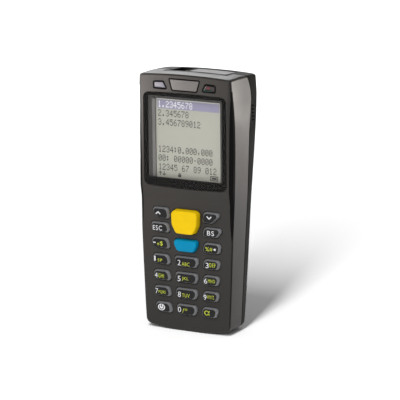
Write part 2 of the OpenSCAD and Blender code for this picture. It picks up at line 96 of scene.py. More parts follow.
def grain(m, nt, b, scale, strength, dist=0.00003, rough=None, tint=None, detail=3):
    """fine moulded texture: bump, with a little variation of roughness and colour"""
    tc = nt.nodes.new("ShaderNodeTexCoord")
    n = nt.nodes.new("ShaderNodeTexNoise")
    n.inputs["Scale"].default_value = scale
    n.inputs["Detail"].default_value = detail
    nt.links.new(tc.outputs["Object"], n.inputs["Vector"])
    bump = nt.nodes.new("ShaderNodeBump")
    bump.inputs["Strength"].default_value = strength
    bump.inputs["Distance"].default_value = dist
    nt.links.new(n.outputs["Fac"], bump.inputs["Height"])
    nt.links.new(bump.outputs["Normal"], b.inputs["Normal"])
    big = nt.nodes.new("ShaderNodeTexNoise")
    big.inputs["Scale"].default_value = 70
    big.inputs["Detail"].default_value = 4
    nt.links.new(tc.outputs["Object"], big.inputs["Vector"])
    if rough:
        mr = nt.nodes.new("ShaderNodeMapRange")
        mr.inputs["From Min"].default_value = 0.3
        mr.inputs["From Max"].default_value = 0.7
        mr.inputs["To Min"].default_value, mr.inputs["To Max"].default_value = rough
        nt.links.new(big.outputs["Fac"], mr.inputs["Value"])
        nt.links.new(mr.outputs["Result"], b.inputs["Roughness"])
    if tint:
        cr = nt.nodes.new("ShaderNodeValToRGB")
        cr.color_ramp.elements[0].position, cr.color_ramp.elements[1].position = 0.3, 0.7
        cr.color_ramp.elements[0].color = (*tint[0], 1)
        cr.color_ramp.elements[1].color = (*tint[1], 1)
        nt.links.new(big.outputs["Fac"], cr.inputs["Fac"])
        nt.links.new(cr.outputs["Color"], b.inputs["Base Color"])
    return m


def plastic(name, color, rough, vary=0.05, bump=0.25, scale=5200, **kw):
    m, nt, b = principled(name, color, rough, **kw)
    lo = tuple(c * 0.93 for c in color)
    hi = tuple(min(1, c * 1.07) for c in color)
    return grain(m, nt, b, scale, bump, rough=(rough - vary, rough + vary), tint=(lo, hi))


M = {}
M["case_front"] = plastic("case_front", (0.0150, 0.0132, 0.0112), 0.42, bump=0.25, Specular_IOR_Level=0.3)
M["case_back"] = plastic("case_back", (0.0150, 0.0134, 0.0116), 0.60, bump=0.30, Specular_IOR_Level=0.15)
M["case_door"] = plastic("case_door", (0.0150, 0.0134, 0.0116), 0.60, bump=0.30, Specular_IOR_Level=0.15)
M["edge_black"] = plastic("edge_black", (0.0035, 0.0033, 0.0032), 0.60, bump=0.15, Specular_IOR_Level=0.06)
# near-black colour laid into recesses and gaps: painted shade
M["recess_painted_shade"] = plastic("recess_painted_shade", (0.0015, 0.0015, 0.0015), 0.7, bump=0.1, Specular_IOR_Level=0.05)
M["seal"] = plastic("seal", (0.008, 0.008, 0.008), 0.75)
M["badge"] = plastic("badge", (0.076, 0.071, 0.068), 0.33, bump=0.12)
M["key_grey"] = plastic("key_grey", (0.165, 0.167, 0.174), 0.36, bump=0.18, Specular_IOR_Level=0.4)
M["key_black"] = plastic("key_black", (0.006, 0.0055, 0.0055), 0.24, vary=0.03, bump=0.05, Specular_IOR_Level=0.25)
M["key_yellow"] = plastic("key_yellow", (0.780, 0.515, 0.002), 0.50, bump=0.15, Specular_IOR_Level=0.12)
M["key_blue"] = plastic("key_blue", (0.0003, 0.230, 0.420), 0.45, bump=0.15, Specular_IOR_Level=0.10)
M["bezel_grey"] = plastic("bezel_grey", (0.043, 0.039, 0.037), 0.50, bump=0.2)
# pale bezel colour: painted highlight of light falling on the funnel's left wall
M["bezel_painted_highlight"] = plastic("bezel_painted_highlight", (0.172, 0.165, 0.158), 0.50, bump=0.2)
M["board_green"] = plastic("board_green", (0.02, 0.13, 0.06), 0.4)
M["chip_black"] = plastic("chip_black", (0.02, 0.02, 0.02), 0.5)
M["engine_black"] = plastic("engine_black", (0.012, 0.012, 0.013), 0.55)
M["silicone_grey"] = plastic("silicone_grey", (0.25, 0.25, 0.25), 0.6)
M["battery_wrap"] = plastic("battery_wrap", (0.03, 0.06, 0.22), 0.3, bump=0.05)
M["light_guide"] = plastic("light_guide", (0.85, 0.87, 0.85), 0.3, bump=0.02)
M["flex_film"] = plastic("flex_film", (0.55, 0.26, 0.06), 0.35, bump=0.02)
M["led_resin"] = plastic("led_resin", (0.8, 0.8, 0.72), 0.25, bump=0.02)


def metal(name, color, rough, bump=0.1, scale=1500):
    m, nt, b = principled(name, color, rough, Metallic=1.0)
    return grain(m, nt, b, scale, bump, dist=0.00001, rough=(rough - 0.05, rough + 0.08))


M["sheet_steel"] = metal("sheet_steel", (0.55, 0.56, 0.57), 0.35)
M["cell_steel"] = metal("cell_steel", (0.6, 0.6, 0.59), 0.25)
M["dome_steel"] = metal("dome_steel", (0.62, 0.62, 0.6), 0.25)
M["contact_metal"] = metal("contact_metal", (0.80, 0.56, 0.24), 0.25)
M["screw_black"] = metal("screw_black", (0.10, 0.10, 0.105), 0.38)
M["screw_steel"] = metal("screw_steel", (0.6, 0.6, 0.6), 0.3)


def clear(name, tint, rough=0.06):
    """thin clear sheet: it lets light through and mirrors by its angle"""
    m = bpy.data.materials.new(name)
    m.use_nodes = True
    nt = m.node_tree
    nt.nodes.remove(nt.nodes["Principled BSDF"])
    out = nt.nodes["Material Output"]
    tr = nt.nodes.new("ShaderNodeBsdfTransparent")
    tr.inputs["Color"].default_value = (*tint, 1)
    gl = nt.nodes.new("ShaderNodeBsdfGlossy")
    gl.inputs["Roughness"].default_value = rough
    gl.inputs["Color"].default_value = (1, 1, 1, 1)
    lw = nt.nodes.new("ShaderNodeLayerWeight")
    lw.inputs["Blend"].default_value = 0.5
    p5 = nt.nodes.new("ShaderNodeMath")
    p5.operation = "POWER"
    p5.inputs[1].default_value = 5
    ma = nt.nodes.new("ShaderNodeMath")
    ma.operation = "MULTIPLY_ADD"
    ma.inputs[1].default_value, ma.inputs[2].default_value = 0.99, 0.008
    mx = nt.nodes.new("ShaderNodeMixShader")
    nt.links.new(lw.outputs["Facing"], p5.inputs[0])
    nt.links.new(p5.outputs[0], ma.inputs[0])
    nt.links.new(ma.outputs[0], mx.inputs["Fac"])
    nt.links.new(tr.outputs["BSDF"], mx.inputs[1])
    nt.links.new(gl.outputs["BSDF"], mx.inputs[2])
    nt.links.new(mx.outputs["Shader"], out.inputs["Surface"])
    return m


M["lens"] = clear("lens", (0.98, 0.98, 0.98))
M["lens_print"] = plastic("lens_print", (0.0045, 0.0040, 0.0035), 0.35, vary=0.03, bump=0.03, Specular_IOR_Level=0.05)
M["lamp_clear"] = plastic("lamp_clear", (0.088, 0.086, 0.112), 0.22, vary=0.04, bump=0.05)
M["lamp_smoke"] = plastic("lamp_smoke", (0.014, 0.008, 0.008), 0.16, vary=0.03, bump=0.03)
M["lamp_red"] = plastic("lamp_red", (0.130, 0.007, 0.014), 0.3, bump=0.03)
M["lamp_green"] = plastic("lamp_green", (0.012, 0.060, 0.040), 0.3, bump=0.03)
M["scan_red"] = plastic("scan_red", (0.026, 0.014, 0.014), 0.34, vary=0.01, bump=0.0, Specular_IOR_Level=0.5)
M["ink_white"] = plastic("ink_white", (0.70, 0.70, 0.72), 0.45, bump=0.03)
M["ink_lime"] = plastic("ink_lime", (0.50, 0.56, 0.03), 0.45, bump=0.03)
M["lcd_ink"] = plastic("lcd_ink", (0.050, 0.048, 0.042), 0.5, bump=0.02)
M["lcd_bar"] = plastic("lcd_bar", (0.330, 0.312, 0.440), 0.5, bump=0.02)
M["lcd_pale"] = plastic("lcd_pale", (0.90, 0.90, 0.90), 0.5, bump=0.02)


def lcd_material():
    """pale grey-green cell with the faint grid of its dots"""
    m, nt, b = principled("lcd_glass", (0.452, 0.450, 0.386), 0.40)
    tc = nt.nodes.new("ShaderNodeTexCoord")
    br = nt.nodes.new("ShaderNodeTexBrick")
    mp = nt.nodes.new("ShaderNodeMapping")
    mp.inputs["Rotation"].default_value = (math.radians(90), 0, 0)
    br.offset = 0
    br.inputs["Scale"].default_value = 1
    br.inputs["Brick Width"].default_value = 0.00031
    br.inputs["Row Height"].default_value = 0.00031
    br.inputs["Mortar Size"].default_value = 0.00003
    br.inputs["Color1"].default_value = (0.452, 0.450, 0.386, 1)
    br.inputs["Color2"].default_value = (0.462, 0.459, 0.395, 1)
    br.inputs["Mortar"].default_value = (0.424, 0.421, 0.363, 1)
    nt.links.new(tc.outputs["Object"], mp.inputs["Vector"])
    nt.links.new(mp.outputs["Vector"], br.inputs["Vector"])
    nt.links.new(br.outputs["Color"], b.inputs["Base Color"])
    return m


M["lcd_glass"] = lcd_material()


def paint(obj, name):
    obj.data.materials.clear()
    obj.data.materials.append(M[name])
    return obj


# ---------------------------------------------------------------- mesh helpers
def make(name, verts, faces, mat=None, body="case", slot=None):
    """a mesh from millimetres; one that rides on nothing yet stays in millimetres for the booleans"""
    me = bpy.data.meshes.new(name)
    me.from_pydata([Vector(v) * (S if body else 1) for v in verts], [], faces)
    me.validate()
    bm = bmesh.new()
    bm.from_mesh(me)
    bmesh.ops.recalc_face_normals(bm, faces=bm.faces)
    bm.to_mesh(me)
    bm.free()
    o = bpy.data.objects.new(name, me)
    bpy.context.scene.collection.objects.link(o)
    if mat:
        paint(o, mat)
    if body:
        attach(o, body)
    return o


def rings(levels, cap=True):
    """closed skin through equal rings of points"""
    m = len(levels[0])
    verts = [p for lv in levels for p in lv]
    faces = []
    for i in range(len(levels) - 1):
        for j in range(m):
            k = (j + 1) % m
            faces.append((i * m + j, i * m + k, (i + 1) * m + k, (i + 1) * m + j))
    if cap:
        faces.append(tuple(range(m - 1, -1, -1)))
        faces.append(tuple((len(levels) - 1) * m + j for j in range(m)))
    return verts, faces


def sharpen(o, angle=28.0):
    """smooth shading with sharp edges kept, and normals weighted by face area"""
    bm = bmesh.new()
    bm.from_mesh(o.data)
    lim = math.radians(angle)
    for f in bm.faces:
        f.smooth = True
    for ed in bm.edges:
        ed.smooth = len(ed.link_faces) == 2 and ed.calc_face_angle(0) <= lim
    bm.to_mesh(o.data)
    bm.free()
    w = o.modifiers.new("weighted", "WEIGHTED_NORMAL")
    w.keep_sharp = True
    w.weight = 60
    return o


def apply_mods(o):
    dg = bpy.context.evaluated_depsgraph_get()
    me = bpy.data.meshes.new_from_object(o.evaluated_get(dg))
    o.modifiers.clear()
    old = o.data
    o.data = me
    bpy.data.meshes.remove(old)
    return o


def drop(*objs):
    for o in objs:
        me = o.data
        bpy.data.objects.remove(o)
        bpy.data.meshes.remove(me)


def boolean(o, cutters, op="DIFFERENCE"):
    for c in cutters:
        md = o.modifiers.new("cut", "BOOLEAN")
        md.operation = op
        md.solver = "EXACT"
        md.object = c
    apply_mods(o)
    return o


def join(name, objs):
    bm = bmesh.new()
    for o in objs:
        bm.from_mesh(o.data)
    me = bpy.data.meshes.new(name)
    bm.to_mesh(me)
    bm.free()
    drop(*objs)
    o = bpy.data.objects.new(name, me)
    bpy.context.scene.collection.objects.link(o)
    return o


def settle(o, mat, body, nodes=(), angle=28.0):
    """a finished shell goes from millimetres to metres and takes its place"""
    o.data.transform(Matrix.Scale(S, 4))
    paint(o, mat)
    sharpen(o, angle)
    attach(o, body)
    if nodes:
        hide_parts(*nodes)
    return o


def area2(P):
    return sum(P[i][0] * P[(i + 1) % len(P)][1] - P[(i + 1) % len(P)][0] * P[i][1] for i in range(len(P))) / 2


def inset(P, d):
    """outline moved in by d along its own normals (out if d is negative)"""
    n = len(P)
    s = 1 if area2(P) > 0 else -1
    out = []
    for i in range(n):
        p0, p1, p2 = Vector(P[i - 1]), Vector(P[i]), Vector(P[(i + 1) % n])
        a1, a2_ = (p1 - p0), (p2 - p1)
        if a1.length < 1e-9 or a2_.length < 1e-9:
            out.append(tuple(p1))
            continue
        n1 = Vector((-a1.y, a1.x)).normalized() * s
        n2 = Vector((-a2_.y, a2_.x)).normalized() * s
        b_ = (n1 + n2)
        b_ = b_ / max(0.35, b_.length_squared / 2)
        out.append(tuple(p1 + b_ * d))
    return out


def slab(name, P, levels, **kw):
    """outline P in x and z; levels are [y, inset]"""
    L = []
    for y, d in levels:
        q = inset(P, d) if abs(d) > 1e-9 else P
        L.append([(p[0], y, p[1]) for p in q])
    v, f = rings(L)
    return make(name, v, f, **kw)


def block(name, lo, hi, **kw):
    v = [(x, y, z) for x in (lo[0], hi[0]) for y in (lo[1], hi[1]) for z in (lo[2], hi[2])]
    f = [(0, 1, 3, 2), (4, 6, 7, 5), (0, 4, 5, 1), (2, 3, 7, 6), (0, 2, 6, 4), (1, 5, 7, 3)]
    return make(name, v, f, **kw)


def xprism(name, P, x0, x1, **kw):
    """outline P in y and z, thick along x"""
    v, f = rings([[(x0, p[0], p[1]) for p in P], [(x1, p[0], p[1]) for p in P]])
    return make(name, v, f, **kw)


def ybar(name, x, z, y0, y1, rad, n=32, **kw):
    c = [(x + rad * math.cos(2 * math.pi * i / n), z + rad * math.sin(2 * math.pi * i / n)) for i in range(n)]
    v, f = rings([[(p[0], y0, p[1]) for p in c], [(p[0], y1, p[1]) for p in c]])
    return make(name, v, f, **kw)


def rounded(P, n=8):
    out = []
    for i in range(len(P)):
        A, Pt, B = Vector(P[i - 1][:2]), Vector(P[i][:2]), Vector(P[(i + 1) % len(P)][:2])
        rad = P[i][2]
        u, v = (A - Pt).normalized(), (B - Pt).normalized()
        g = math.acos(max(-1, min(1, u.dot(v))))
        T, U = Pt + u * (rad / math.tan(g / 2)), Pt + v * (rad / math.tan(g / 2))
        C = Pt + (u + v).normalized() * (rad / math.sin(g / 2))
        a0, b0 = math.atan2(T.y - C.y, T.x - C.x), math.atan2(U.y - C.y, U.x - C.x)
        w = (b0 - a0 + 3 * math.pi) % (2 * math.pi) - math.pi
        k = n if rad < 100 else 12
        out += [(C.x + rad * math.cos(a0 + w * j / k), C.y + rad * math.sin(a0 + w * j / k)) for j in range(k + 1)]
    return out


def flip(P):
    return [(-p[0], p[1], p[2]) for p in reversed(P)]


def grown(P, o):
    xs, zs = [p[0] for p in P], [p[1] for p in P]
    cx, cz = (max(xs) + min(xs)) / 2, (max(zs) + min(zs)) / 2
    kx, kz = 1 + 2 * o / (max(xs) - min(xs)), 1 + 2 * o / (max(zs) - min(zs))
    return [(cx + (p[0] - cx) * kx, cz + (p[1] - cz) * kz) for p in P]


def shrunk(P, dx, dz):
    """outline made smaller about its middle by dx at each side and dz at top and bottom"""
    xs, zs = [p[0] for p in P], [p[1] for p in P]
    cx, cz = (max(xs) + min(xs)) / 2, (max(zs) + min(zs)) / 2
    kx, kz = 1 - 2 * dx / (max(xs) - min(xs)), 1 - 2 * dz / (max(zs) - min(zs))
    return [(cx + (p[0] - cx) * kx, cz + (p[1] - cz) * kz) for p in P]


def hoop(name, Po, Pi, y0, y1, **kw):
    """flat ring between two outlines of equal count"""
    m = len(Po)
    L = [(Po, y0), (Po, y1), (Pi, y1), (Pi, y0)]
    v = [(p[0], y, p[1]) for P, y in L for p in P]
    f = [(i * m + j, i * m + (j + 1) % m, (i + 1) % 4 * m + (j + 1) % m, (i + 1) % 4 * m + j) for i in range(4) for j in range(m)]
    return make(name, v, f, **kw)


# ---------------------------------------------------------------- form of the body, as in the part's source
H = 124.2
Y_FACE, Y_KEYS, Y_BACK, WALL, GAP = -12.4, -11.4, 15.4, 1.7, 0.3


def table(T, z):
    if z <= T[0][0]:
        return T[0][1]
    for (z0, v0), (z1, v1) in zip(T, T[1:]):
        if z <= z1:
            return v0 + (v1 - v0) * (z - z0) / (z1 - z0)
    return T[-1][1]


def smooth_table(T, z, w=3.0):
    return sum(table(T, z + w * k / 3) for k in range(-3, 4)) / 7


def hwid(z):
    return 25.3 - 2.75 * ((90 - z) / 90) ** 1.5 if z < 90 else 25.3 - ((z - 90) / 32) ** 2


def ylow(z):
    return 6.8 + 0.05 * (z - 5)


def yback(z):
    if z < 58:
        return ylow(z)
    if z > 114:
        return Y_BACK
    t = (z - 58) / 56
    return (2 * t ** 3 - 3 * t * t + 1) * ylow(58) + (t ** 3 - 2 * t * t + t) * 4.7 \
        + (3 * t * t - 2 * t ** 3) * Y_BACK + (t ** 3 - t * t) * 8


def yfront(z):
    return sum(max(Y_FACE, min(Y_KEYS, Y_KEYS + (Y_FACE - Y_KEYS) * (z + k * 0.12 - 63.8) / 5.8)) for k in range(-4, 5)) / 9


def crown_t(x, y):
    return 0.9 * (abs(x) / 24) ** 2.2 + (0 if y < -4 else ((y + 4) / 18) ** 1.4)


def crown_b(x):
    return 0 if abs(x) < 7 else 1.9 * ((abs(x) - 7) / 14.5) ** 1.5


def zpt(z, x, y):
    return z + crown_b(x) * max(0, 1 - z / 12) - crown_t(x, y) * max(0, 1 - (H - z) / 12)


FRONT_R = [(0, 1.0), (50, 1.1), (62, 1.5), (74, 2.1), (86, 2.8), (104, 3.0), (112, 2.5), (116, 1.7), (120, 1.4)]


def front_r(z):
    return smooth_table(FRONT_R, z, 2.5)


def rear_r(z):
    return 3.6 - 1.2 * min(1, max(0, (z - 70) / 34))


GROOVE = [(0, 0), (9, 0), (18, 0), (27, 0), (35, 0), (38, 0.05), (39, 0.45), (59, 0.45), (60, 0.05), (63, 0), (70, 0), (80, 0), (90, 0)]


def halfsec(z, ix, iy, d):
    hw = hwid(z) - ix - d
    hs = hw + 0.2
    yf, yb = yfront(z) + iy + d, yback(z) - iy - d
    rf, rb = max(0.4, front_r(z) - d), max(1.2, rear_r(z) - d)
    k = min(1, hw / 21)
    fade = min(1, max(0, z - 2.4), max(0, 121.6 - z))
    P = [(x * k, yf) for x in (0, 2, 4, 5.5, 7, 8.5, 10, 11.5, 13, 14.5, 16, 17.5, 18.6)]
    for an, g in GROOVE:
        rr = rf - (g * fade if d < 0.01 else 0)
        P.append((hw - rf + rr * math.sin(math.radians(an)), yf + rf - rr * math.cos(math.radians(an))))
    y0, y1 = yf + rf, yb - rb
    for j in range(1, 12):
        t = j / 12
        x = hw + 0.2 * (1 - ((t - 0.65) / 0.65) ** 2) if t < 0.65 else hs - 0.15 * ((t - 0.65) / 0.35) ** 2
        P.append((x, y0 + (y1 - y0) * t))
    for j in range(0, 11):
        an = math.radians(9 * j)
        P.append((hs - 0.15 - rb + rb * math.cos(an), yb - rb + rb * math.sin(an)))
    P += [(x * k, yb) for x in (16.2, 14.5, 13, 11.5, 10, 8.5, 7, 5.5, 4, 2, 0)]
    return P


def quarter(d, depth, rad):
    return depth * (1 - math.sqrt(max(0, 1 - (1 - min(1, d / rad)) ** 2)))


def body_form(name, d):
    if d > 1:
        bottom = [(d, 1.6, 0), (d + 0.3, 0.8, 0), (d + 0.9, 0.3, 0)]
        top = [(H - d - 0.4, 0, 0), (H - d, 0.4, 0)]
        step = 4.0
    else:
        bottom = [(d + q, quarter(q, 2.4, 3), quarter(q, 1.0, 1.0)) for q in (0, 0.06, 0.15, 0.3, 0.5, 0.8, 1.2, 1.7, 2.3)]
        top = [(H - d - q, quarter(q, 1.1, 1.1), quarter(q, 0.85, 0.85)) for q in (1.1, 0.85, 0.6, 0.42, 0.27, 0.14, 0.05, 0)]
        step = 2.4
    z = bottom[-1][0] + 0.7
    mid = []
    while z < top[0][0] - 0.6:
        mid.append((z, 0, 0))
        z += step if not 60 < z < 72 else 0.5
    st = [(*bottom[0], s) for s in (0.12, 0.3, 0.5, 0.7, 0.85, 0.95)] + [(*q, 1) for q in bottom + mid + top] \
        + [(*top[-1], s) for s in (0.95, 0.85, 0.7, 0.5, 0.3, 0.12)]
    L = []
    for z, ix, iy, s in st:
        h = halfsec(z, ix, iy, d)
        c = h + [(-p[0], p[1]) for p in h[-2:0:-1]]
        ring = []
        for p in c:
            x, y = p[0] * s, -1 + (p[1] + 1) * s
            ring.append((x, y, zpt(z, x, y)))
        L.append(ring)
    v, f = rings(L, cap=False)
    m = len(L[0])
    v += [(0, -1, zpt(st[0][0], 0, -1)), (0, -1, zpt(st[-1][0], 0, -1))]
    for j in range(m):
        f.append((len(v) - 2, (j + 1) % m, j))
        f.append((len(v) - 1, (len(L) - 1) * m + j, (len(L) - 1) * m + (j + 1) % m))
    return make(name, v, f, body=None)


SEAM = [(3.7, 130), (4.0, 123.3), (4.8, 122.3), (6.4, 119.2), (7.3, 115.8), (7.7, 112.4), (4.6, 96.7),
        (3.9, 87.8), (3.3, 68.6), (1.9, 45.5), (1.2, 31.5), (0.7, 17.8), (0.6, -5)]


def seam_y(z):
    return table([(p[1], p[0]) for p in reversed(SEAM)], z)


def half_space(name, side, g):
    """side -1 keeps what lies in front of the parting line, 1 what lies behind it"""
    P = [(p[0] + side * g, p[1]) for p in SEAM] + [(40 * side, -5), (40 * side, 130)]
    return xprism(name, P, -40, 40, body=None)


def tongue(g):
    return block("tongue", (-15.6 - g, -3.4 - g, 120.9 - g), (17.4 + g, 7, 131), body=None)


def door_block(name, hw, z0, z1, d0, d1, **kw):
    return xprism(name, [(ylow(z0) - d1, z0), (ylow(z0) - d0, z0), (ylow(z1) - d0, z1), (ylow(z1) - d1, z1)], -hw, hw, **kw)


# outlines
def lens_outline(e):
    w = 21.9
    return rounded([(-w + e, 70.2 + e, 3), (0, 69.5 + e, 300), (w - e, 70.2 + e, 3), (w - e, 114.8 - e, 3),
                    (0, 115.5 - e, 300), (-w + e, 114.8 - e, 3)], 10)


def badge_outline(e):
    return rounded([(-8.4 + e, 122.1 - e, 0.7), (-6.7 + e, 116.2 + e, 0.9), (6.7 - e, 116.2 + e, 0.9), (8.4 - e, 122.1 - e, 0.7)], 6)


def lamp_corners(e):
    return [(-16.5 + e, 120.4 - e, 0.9), (-16.5 + e, 116.7 + e, 0.7), (-8.8 - e, 116.7 + e, 0.8), (-11.0 - e, 120.7 - e, 1.0)]


STRIP_IN = [(45, 24.1), (49, 23.55), (54, 23.2), (60, 23.1), (72, 23.05), (90, 23.25), (99, 23.35), (106, 23.5), (113, 23.75), (118, 24.1)]
STRIP_OUT = [(45, -10.9), (52, -10.4), (64, -9.9), (84, -9.7), (104, -9.7), (112, -10.3), (118, -11.0)]


def strip_zone(name, e, side):
    zs = [45 + 73 * i / 40 for i in range(41)]
    zz = [45 + e] + zs[1:-1] + [118 - e]
    P = [(smooth_table(STRIP_IN, z, 2) + e, z2) for z, z2 in zip(zs, zz)] + [(28, 118 - e), (28, 45 + e)]
    v, f = rings([[(side * p[0], -14, p[1]) for p in P], [(side * p[0], -9, p[1]) for p in P]])
    A = make(name, v, f, body=None)
    Q = [(smooth_table(STRIP_OUT, z, 2) - e, z2) for z, z2 in zip(zs, zz)] + [(-16, 118 - e), (-16, 45 + e)]
    B = xprism(name + "_b", Q, side * 20, side * 30, body=None)
    boolean(A, [B], "INTERSECT")
    drop(B)
    return A


K_UP = [(-17.6, 59.6, 1.2), (-17.7, 57.8, 1.2), (-13.9, 54.2, 1.9), (-8.4, 54.3, 1.5), (-9.4, 59.7, 2.0)]
K_ESC = [(-18.9, 52.3, 1.3), (-18.7, 50.4, 1.2), (-16.7, 47.6, 1.8), (-8.2, 47.5, 1.6), (-9.7, 52.4, 2.2)]
K_MIN = [(-19.0, 44.8, 1.7), (-17.7, 39.8, 1.9), (-8.2, 39.6, 1.6), (-9.8, 44.9, 2.2)]
K_1 = [(-18.6, 36.8, 1.7), (-17.2, 32.0, 1.9), (-8.15, 31.8, 1.6), (-9.6, 36.9, 2.2)]
K_4 = [(-18.3, 29.0, 1.7), (-16.8, 24.2, 1.9), (-8.0, 24.0, 1.6), (-9.4, 29.1, 2.2)]
K_7 = [(-18.0, 21.2, 1.7), (-16.5, 16.4, 1.9), (-7.8, 16.2, 1.6), (-9.2, 21.3, 2.2)]
K_POW = [(-17.4, 13.3, 1.7), (-15.9, 8.5, 1.9), (-7.3, 8.3, 1.6), (-8.7, 13.4, 2.2)]


def mid_key(w, z0, z1):
    return [(-w + 0.3, z1, 1.6), (-w, z0 + 2.4, 1.8), (-w + 1.2, z0, 1.8), (w - 1.2, z0, 1.8), (w, z0 + 2.4, 1.8), (w - 0.3, z1, 1.6)]


K_SCAN = [(-7.3, 59.6, 2.5), (-6.9, 52.3, 5), (-4.6, 48.0, 2.3), (4.6, 48.0, 2.3), (6.9, 52.3, 5), (7.3, 59.6, 2.5)]
K_ENT = [(-6.4, 45.2, 1.6), (-6.1, 42.4, 2), (-4.4, 39.3, 1.9), (4.4, 39.3, 1.9), (6.1, 42.4, 2), (6.4, 45.2, 1.6)]
KEYS = {
    "key_up": K_UP, "key_down": flip(K_UP), "key_esc": K_ESC, "key_bs": flip(K_ESC), "key_minus": K_MIN,
    "key_percent": flip(K_MIN), "key_1": K_1, "key_2": mid_key(6.5, 31.8, 36.9), "key_3": flip(K_1),
    "key_4": K_4, "key_5": mid_key(6.25, 24.0, 29.1), "key_6": flip(K_4), "key_7": K_7,
    "key_8": mid_key(5.95, 16.2, 21.3), "key_9": flip(K_7), "key_power": K_POW, "key_0": mid_key(5.6, 8.3, 13.4),
    "key_alpha": flip(K_POW), "key_scan": K_SCAN, "key_enter": K_ENT}
SCREWS = [(20.3, 117.5), (-20.3, 117.5), (20.0, 66.3), (-20.0, 66.3), (18.2, 4.7), (-18.2, 4.7)]
GRILLE = [(7.5, 112.2), (4.4, 96.9), (10.4, 98.4), (11.9, 109.8)]


def head_y(z):
    return 12.6 if z > 100 else ylow(z) - 2.4


# ---------------------------------------------------------------- case front
def funnel(name, P, y, c, depth):
    """cutter with a small bevelled mouth at the face y"""
    return slab(name, P, [(y - 2, -c), (y, -c), (y + c, 0), (y + depth, 0)], body=None)


outer = body_form("outer", 0)
inner = body_form("inner", WALL)
front = make("case_front_shell", [], [], body=None)
front.data = outer.data.copy()
fs, tg = half_space("fs", -1, GAP / 2), tongue(GAP / 2)
boolean(front, [fs], "INTERSECT")
boolean(front, [tg, inner])
drop(fs, tg)
cuts = [funnel("c", grown(rounded(k, 8), 0.15), Y_KEYS, 0.22, 4) for k in KEYS.values()]
lens_cut = funnel("lens_cut", lens_outline(0), Y_FACE, 0.16, 0.05 + 0.95)
window_cut = slab("window_cut", rounded([(-20.3, 72.3, 1.5), (19.7, 72.3, 1.5), (19.7, 113.2, 1.5), (-20.3, 113.2, 1.5)], 8),
                  [(-14, 0), (-9, 0)], body=None)
badge_cut = funnel("badge_cut", badge_outline(0), Y_FACE, 0.18, 0.55)
lampL = funnel("lampL", rounded(lamp_corners(0), 6), Y_FACE, 0.18, 1.0)
lampR = funnel("lampR", rounded(flip(lamp_corners(0)), 6), Y_FACE, 0.18, 1.0)
led_cut = join("led_cut", [ybar("b", x, 118.8, -12, -9, 1.2, body=None) for x in (-13.2, 13.2)])
sz = [strip_zone("sz1", 0, 1), strip_zone("sz2", 0, -1)]
cuts += [lens_cut, window_cut, badge_cut, lampL, lampR, led_cut] + sz
for c in cuts:
    boolean(front, [c])
drop(*cuts)
# shallow groove along the parting line, so that it shows as a dark line
skin3 = body_form("skin3", 0.32)
t1, t2, bs = tongue(-0.36), tongue(0.36), half_space("bs", 1, 0)
g1 = xprism("g1", [(p[0] - 0.36, p[1]) for p in SEAM] + [(p[0] + 0.36, p[1]) for p in reversed(SEAM)], -38, 38, body=None)
boolean(g1, [t2])
boolean(g1, [skin3])
g2 = tongue(0.36)
boolean(g2, [t1])
boolean(g2, [bs])
boolean(g2, [skin3])
drop(t1, t2, bs, skin3)
seam_groove = [g1, g2]
for g in seam_groove:
    boolean(front, [g])
settle(front, "case_front", "case", ["front_case"])

# ---------------------------------------------------------------- dark edge strips
skin15, skin16 = body_form("skin15", 0.15), body_form("skin16", WALL - 0.1)
for nm, side in (("edge_strip_right", 1), ("edge_strip_left", -1)):
    st = strip_zone(nm + "_rubber", 0.06, side)
    boolean(st, [skin15], "INTERSECT")
    boolean(st, [skin16])
    settle(st, "edge_black", "case", [nm], 35)
drop(skin15, skin16)


# near-black sheet in the edge groove below the rubber strips: painted shade of the groove
def edge_groove_painted_shade(name, z0, z1, side):
    L = []
    for i in range(41):
        z = z0 + (z1 - z0) * i / 40
        hw, yf, rf = hwid(z), yfront(z), max(0.4, front_r(z))
        sec = []
        for an, g in ((38.5, 0.36), (45, 0.39), (52, 0.39), (59.5, 0.36), (59.5, 0.7), (38.5, 0.7)):
            t = math.radians(an)
            x, y = hw - rf + (rf - g) * math.sin(t), yf + rf - (rf - g) * math.cos(t)
            sec.append((side * x, y, zpt(z, x, y)))
        L.append(sec)
    v, f = rings(L)
    return make(name, v, f, mat="edge_black")


for side, nm in ((1, "right"), (-1, "left")):
    edge_groove_painted_shade("edge_ribbon_" + nm, 3.5, 44.9, side)

# ---------------------------------------------------------------- case back
rear = make("case_back_shell", [], [], body=None)
rear.data = outer.data.copy()
bs = half_space("bs", 1, GAP / 2)
tg = tongue(-GAP / 2)
boolean(bs, [tg], "UNION")
boolean(rear, [bs], "INTERSECT")
boolean(rear, [inner])
for g in seam_groove:
    boolean(rear, [g])
drop(*seam_groove)
skin4 = body_form("skin4", 0.4)
feats = [ybar("f%d" % i, x, z, seam_y(z) + 0.6, 16, 2.2, body=None) for i, (x, z) in enumerate(SCREWS)]
feats.append(door_block("ledge", 17.4, 1.5, 73.4, 0.3, 2.8, body=None))
feats.append(block("well", (-15.4, -2.4, 11.4), (15.4, ylow(12) - 2.2, 64.6), body=None))
core = feats[0]
boolean(core, feats[1:], "UNION")
boolean(core, [skin4], "INTERSECT")
boolean(rear, [core], "UNION")
drop(core, *feats[1:])
